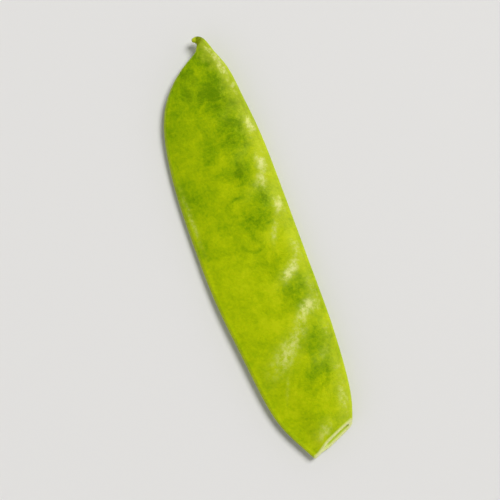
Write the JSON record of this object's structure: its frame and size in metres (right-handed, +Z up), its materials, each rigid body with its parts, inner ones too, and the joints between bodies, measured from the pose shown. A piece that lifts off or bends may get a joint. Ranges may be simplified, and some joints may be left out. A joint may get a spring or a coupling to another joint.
{
  "type": "snow pea pod",
  "caption": "Flat hollow snow pea pod with a hooked tip, a straight seed-bearing edge, a curved edge, low seed bumps and a slanting cut end.",
  "frame": {"origin": "on the surface that the pod lies on, below the centre of the pod's box", "axes": "+X from the hooked tip towards the cut stalk end, +Y towards the suture, the straighter edge that carries the seeds, +Z up through the thickness"},
  "size_m": [0.0984, 0.0234, 0.004],
  "materials": {
    "pod_skin": "satin"
  },
  "bodies": {
    "root": {"pod": "pod_skin"}
  },
  "joints": []
}
